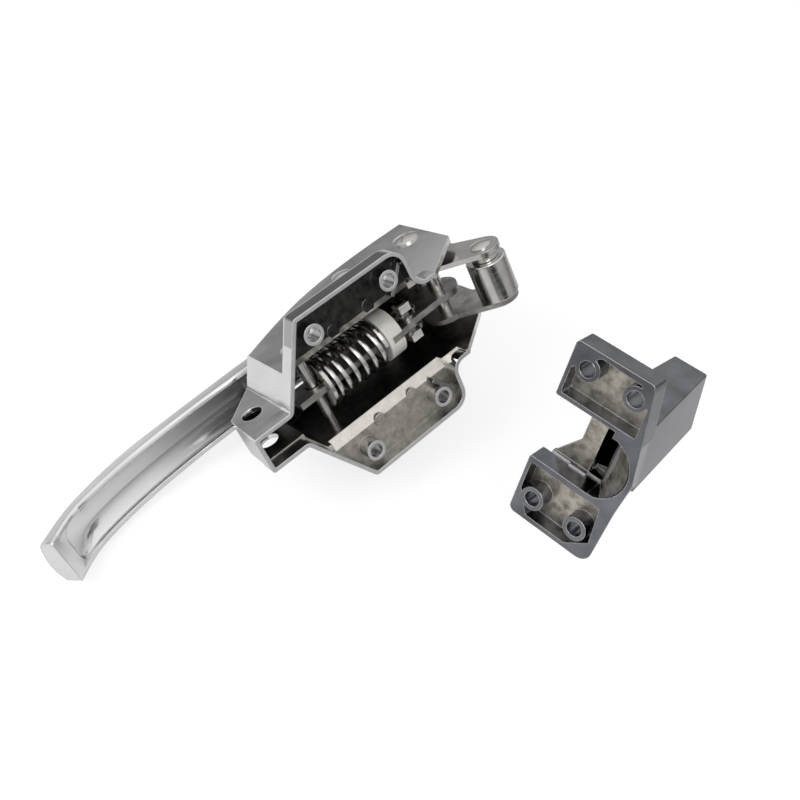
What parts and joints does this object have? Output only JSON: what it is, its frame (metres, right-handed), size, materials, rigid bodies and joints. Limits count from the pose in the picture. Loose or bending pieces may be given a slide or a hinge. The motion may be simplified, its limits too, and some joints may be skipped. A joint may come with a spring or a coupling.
{
  "type": "cold room door lock",
  "caption": "Spring roller latch with a pull handle and padlock hole, and the hollow strike that its roller closes on.",
  "frame": {"origin": "centre of the latch's four screw holes, on the face that meets the door", "axes": "+X along the lock towards the roller, +Y away from the door, +Z along the pins; the strike lies beside the latch as pictured"},
  "size_m": [0.2675, 0.2081, 0.1242],
  "materials": {
    "chrome_casting": "polished chrome plate",
    "dark_chrome_casting": "smoky chrome plate",
    "bright_steel": "nickel plate",
    "plain_steel": "tumbled zinc plate",
    "nylon": "off-white nylon"
  },
  "bodies": {
    "frame": {"housing": "chrome_casting", "handle_pivot": "bright_steel", "arm_pivot": "bright_steel", "spring_anchor_pin": "bright_steel", "upper_pivot_spacer": "plain_steel", "lower_pivot_spacer": "plain_steel", "strike_body": "dark_chrome_casting"},
    "handle": {"handle": "chrome_casting"},
    "arm": {"pivot_tube": "plain_steel", "upper_arm_plate": "bright_steel", "lower_arm_plate": "plain_steel", "link_pin": "bright_steel", "roller_axle": "bright_steel", "roller_washers": "bright_steel"},
    "roller": {"roller": "bright_steel"},
    "link": {"link_plate": "plain_steel", "cross_pin": "bright_steel", "cross_nuts": "bright_steel", "cross_washers": "bright_steel", "spring_seat": "nylon"},
    "stop": {"spring_stop": "plain_steel", "spring": "bright_steel"}
  },
  "joints": [
    {"name": "handle_hinge", "type": "hinge", "parent": "frame", "child": "handle", "pos_m": [0.026, 0.0598, 0], "axis": [0, 0, -1], "range_deg": [0, 12.5], "stiffness_Nm_per_rad": 8, "springref_deg": -20.05},
    {"name": "arm_hinge", "type": "hinge", "parent": "frame", "child": "arm", "pos_m": [0.064, 0.051, 0], "axis": [0, 0, -1], "range_deg": [0, 23.2]},
    {"name": "link_hinge", "type": "hinge", "parent": "arm", "child": "link", "pos_m": [0.0575, 0.028, 0], "axis": [0, 0, 1], "range_deg": [0, 26.5], "deforming": ["spring"]},
    {"name": "stop_hinge", "type": "hinge", "parent": "frame", "child": "stop", "pos_m": [-0.0274, 0.0245, 0], "axis": [0, 0, 1], "range_deg": [0, 3.3]},
    {"name": "roller_spin", "type": "hinge", "parent": "arm", "child": "roller", "pos_m": [0.0787, 0.007, 0], "axis": [0, 0, 1], "continuous": true}
  ],
  "couplings": [
    {"joint": "arm_hinge", "follows": "handle_hinge", "ratio": 1.84},
    {"joint": "link_hinge", "follows": "handle_hinge", "ratio": 2.098},
    {"joint": "stop_hinge", "follows": "handle_hinge", "ratio": 0.258}
  ]
}
